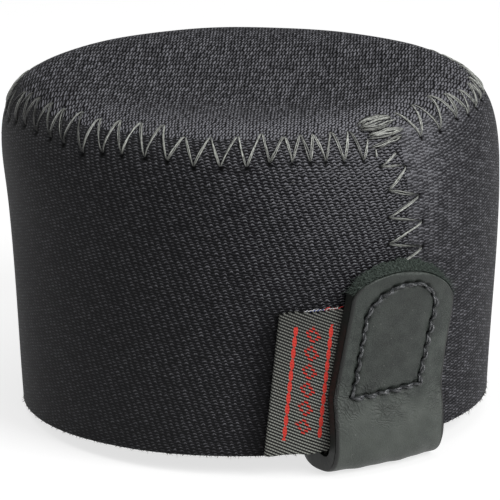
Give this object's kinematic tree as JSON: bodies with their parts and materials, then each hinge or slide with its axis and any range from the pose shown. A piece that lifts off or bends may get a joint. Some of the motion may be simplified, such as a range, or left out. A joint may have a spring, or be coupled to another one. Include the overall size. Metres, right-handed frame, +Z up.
{
  "type": "lens hood cap",
  "caption": "Soft round pull-over cap of neoprene sheet for a camera lens hood, with zigzag seams, a folded leather pull tab and a small woven label.",
  "frame": {"origin": "on the surface that the cap stands on, under the middle of its outline", "axes": "+Z up, -Y towards the pull tab; the cap's own axis leans back 2.9 degrees about X, because it stands on the fold of the tab"},
  "size_m": [0.0798, 0.0834, 0.0562],
  "materials": {
    "jersey": "matte",
    "foam": "matte",
    "lining": "matte",
    "seam_thread": "satin",
    "leather": "matte",
    "tab_thread": "gloss",
    "ribbon": "satin"
  },
  "bodies": {
    "cap": {"crown_face": "jersey", "band_face": "jersey", "crown_foam": "foam", "band_foam": "foam", "crown_lining": "lining", "band_lining": "lining", "crown_seam_outer_thread": "seam_thread", "crown_seam_inner_thread": "seam_thread", "side_seam_outer_thread": "seam_thread", "side_seam_inner_thread": "seam_thread", "bar_tack_outer_thread": "seam_thread", "bar_tack_inner_thread": "seam_thread", "pull_tab": "leather", "tab_stitch_outer": "tab_thread", "tab_stitch_inner": "tab_thread", "label_root": "ribbon"},
    "label": {"label_flap": "ribbon"}
  },
  "joints": [
    {"name": "label_lift", "type": "hinge", "parent": "cap", "child": "label", "pos_m": [-0.0119, -0.03695, 0.01568], "axis": [0.0879, -0.0392, 0.9954], "range_deg": [0, 85], "stiffness_Nm_per_rad": 0.00002}
  ]
}
